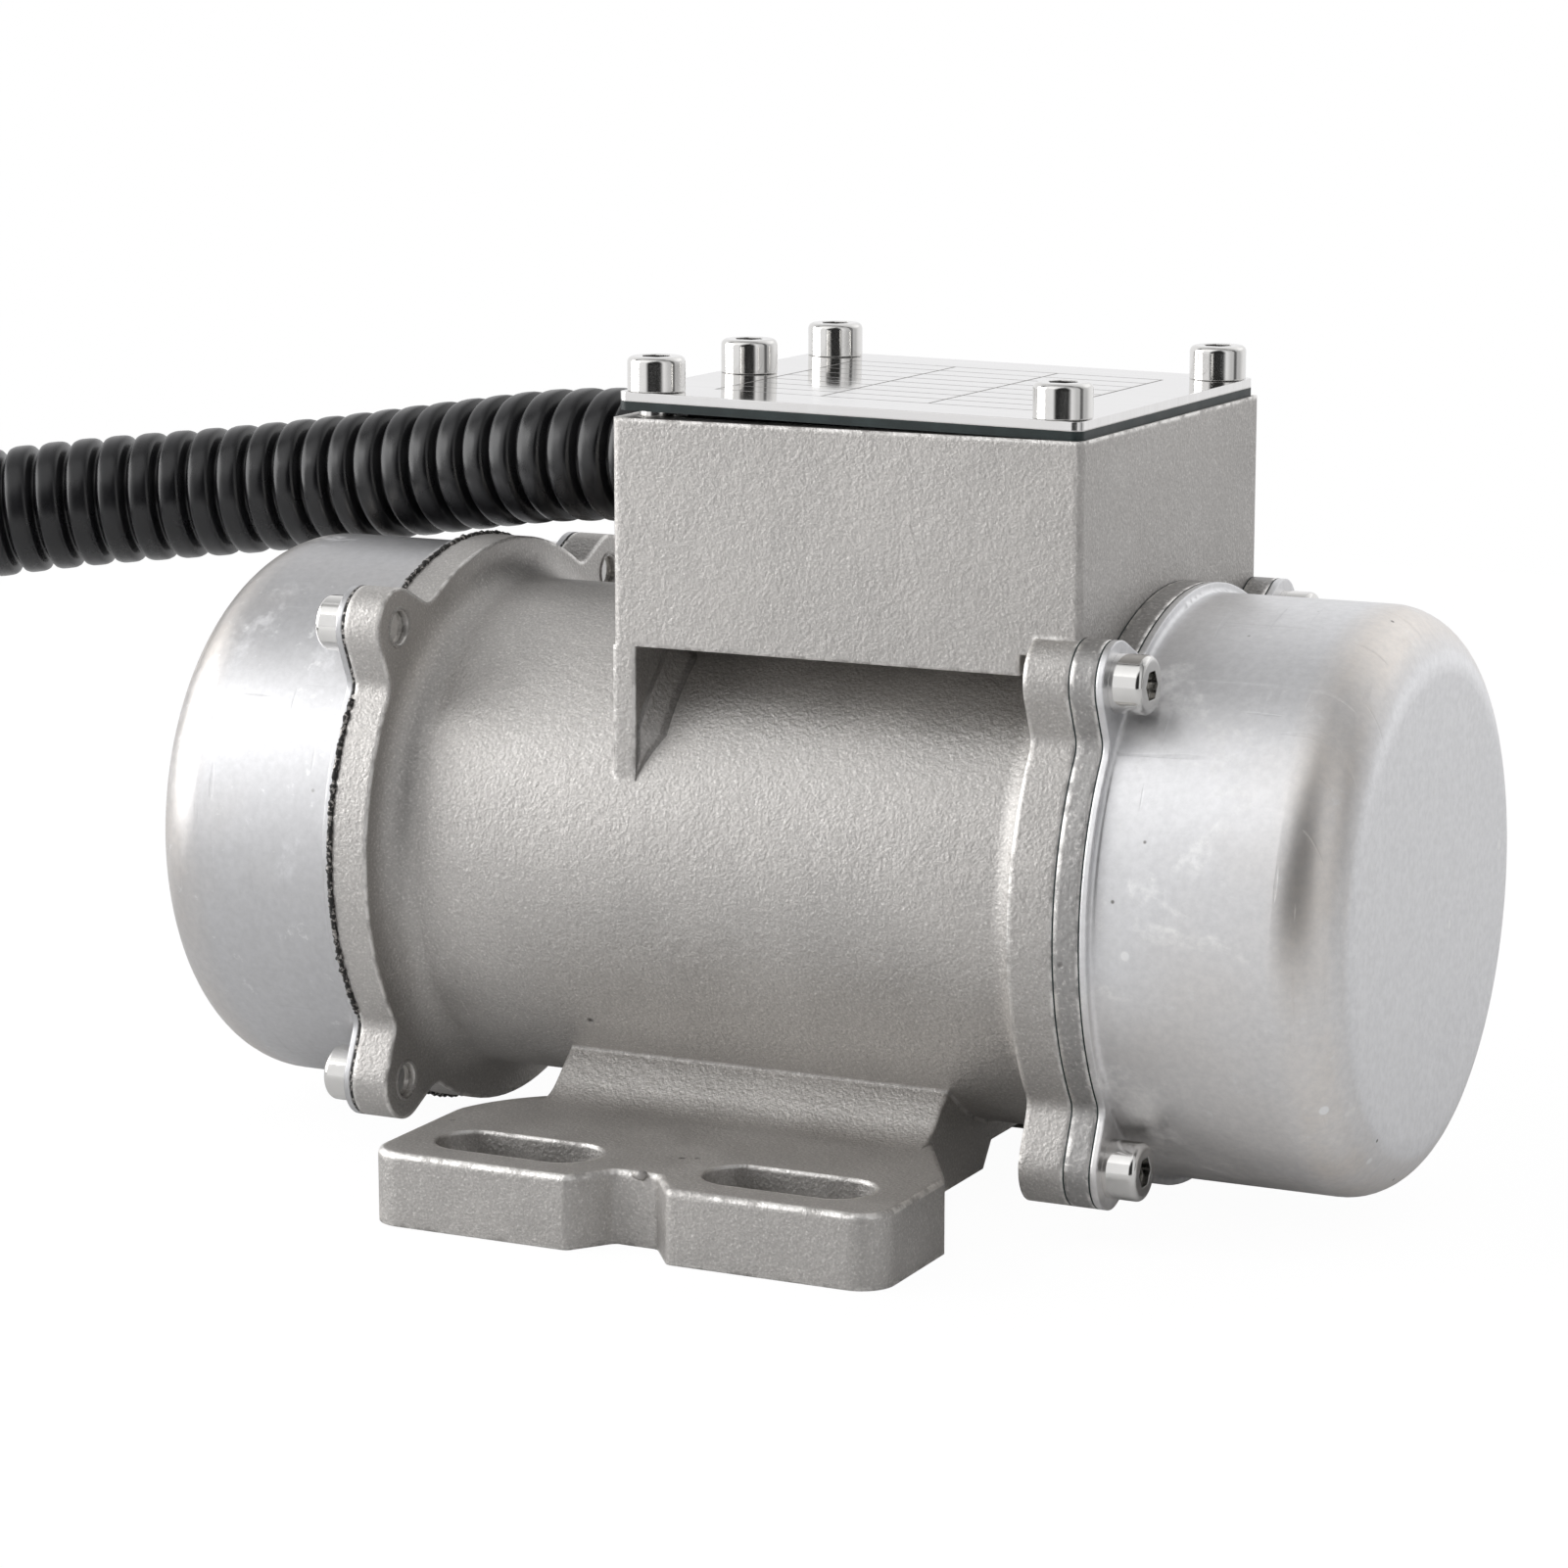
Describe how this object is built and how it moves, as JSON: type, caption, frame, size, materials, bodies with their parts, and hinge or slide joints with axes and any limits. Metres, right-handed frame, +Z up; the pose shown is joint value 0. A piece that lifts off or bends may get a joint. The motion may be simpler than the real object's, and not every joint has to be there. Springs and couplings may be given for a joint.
{
  "type": "vibration motor",
  "caption": "Stainless foot-mounted vibration motor: cast housing with terminal box, drawn end caps over eccentric weights, black conduit.",
  "frame": {"origin": "centre of the four foot slots, on the plane that the feet stand on", "axes": "+X along the shaft towards the end-shield side, -Y towards the side seen in the picture, +Z up"},
  "size_m": [0.3695, 0.319, 0.1236],
  "materials": {
    "cast_housing": "bead-blasted cast stainless steel, fine grain, matt",
    "cast_shield": "bead-blasted cast stainless steel, slightly darker and coarser",
    "drawn_cap": "deep-drawn stainless sheet, satin, faint cloudy marks",
    "lid_plate": "polished stainless sheet, bare",
    "polished_screw": "polished stainless socket screws",
    "dark_gasket": "black rubber, green tinge",
    "sealing_compound": "black sealing compound",
    "black_conduit": "corrugated black polyamide, satin",
    "black_fitting": "moulded black polyamide",
    "lead_insulation": "black insulated leads with tinned ferrules",
    "core_sheets": "laminated electrical steel",
    "copper_coils": "varnished copper windings, laced",
    "cage_aluminium": "die-cast aluminium",
    "bearing_steel": "ground bearing steel",
    "spring_steel": "phosphated spring steel",
    "shaft_steel": "turned and ground steel",
    "weight_steel": "laser-cut steel plate, oiled",
    "block_plastic": "moulded thermoset, ivory",
    "stud_brass": "nickel-free brass"
  },
  "bodies": {
    "motor": {"motor_housing": "cast_housing", "bearing_shield_right": "cast_shield", "shield_gasket": "dark_gasket", "cap_gasket_left": "sealing_compound", "cap_gasket_right": "dark_gasket", "end_cap_left": "drawn_cap", "end_cap_right": "drawn_cap", "cap_screws_left": "polished_screw", "cap_screws_right": "polished_screw", "terminal_lid": "lid_plate", "lid_gasket": "dark_gasket", "lid_screws": "polished_screw", "conduit_gland": "black_fitting", "conduit": "black_conduit", "conduit_end_fitting": "black_fitting", "conduit_lock_nut": "black_fitting", "supply_leads": "lead_insulation", "terminal_block": "block_plastic", "terminal_studs": "stud_brass", "earth_screw": "polished_screw", "stator_core": "core_sheets", "stator_windings": "copper_coils", "bearing_outer_left": "bearing_steel", "bearing_outer_right": "bearing_steel", "bearing_circlip_left": "spring_steel", "bearing_circlip_right": "spring_steel"},
    "rotor": {"shaft": "shaft_steel", "rotor_core": "core_sheets", "rotor_cage": "cage_aluminium", "bearing_inner_left": "bearing_steel", "bearing_inner_right": "bearing_steel", "bearing_spacer_left": "shaft_steel", "bearing_spacer_right": "shaft_steel", "fixed_weight_left": "weight_steel", "fixed_weight_right": "weight_steel", "weight_keys": "shaft_steel", "shaft_clip_left": "spring_steel", "shaft_clip_right": "spring_steel"},
    "left_weight": {"adjustable_weight_left": "weight_steel", "clamp_screw_left": "polished_screw"},
    "right_weight": {"adjustable_weight_right": "weight_steel", "clamp_screw_right": "polished_screw"},
    "left_cage": {"bearing_cage_left": "stud_brass", "bearing_balls_left": "bearing_steel"},
    "right_cage": {"bearing_cage_right": "stud_brass", "bearing_balls_right": "bearing_steel"}
  },
  "joints": [
    {"name": "rotor_spin", "type": "hinge", "parent": "motor", "child": "rotor", "pos_m": [0, 0, 0.0463], "axis": [1, 0, 0], "continuous": true},
    {"name": "left_weight_adjust", "type": "hinge", "parent": "rotor", "child": "left_weight", "pos_m": [-0.082, 0, 0.0463], "axis": [1, 0, 0], "range_deg": [0, 180]},
    {"name": "right_weight_adjust", "type": "hinge", "parent": "rotor", "child": "right_weight", "pos_m": [0.079, 0, 0.0463], "axis": [1, 0, 0], "range_deg": [0, 180]},
    {"name": "left_cage_spin", "type": "hinge", "parent": "motor", "child": "left_cage", "pos_m": [-0.0511, 0, 0.0463], "axis": [1, 0, 0], "continuous": true},
    {"name": "right_cage_spin", "type": "hinge", "parent": "motor", "child": "right_cage", "pos_m": [0.049, 0, 0.0463], "axis": [1, 0, 0], "continuous": true}
  ],
  "couplings": [
    {"joint": "left_cage_spin", "follows": "rotor_spin", "ratio": 0.3632},
    {"joint": "right_cage_spin", "follows": "rotor_spin", "ratio": 0.3632}
  ]
}
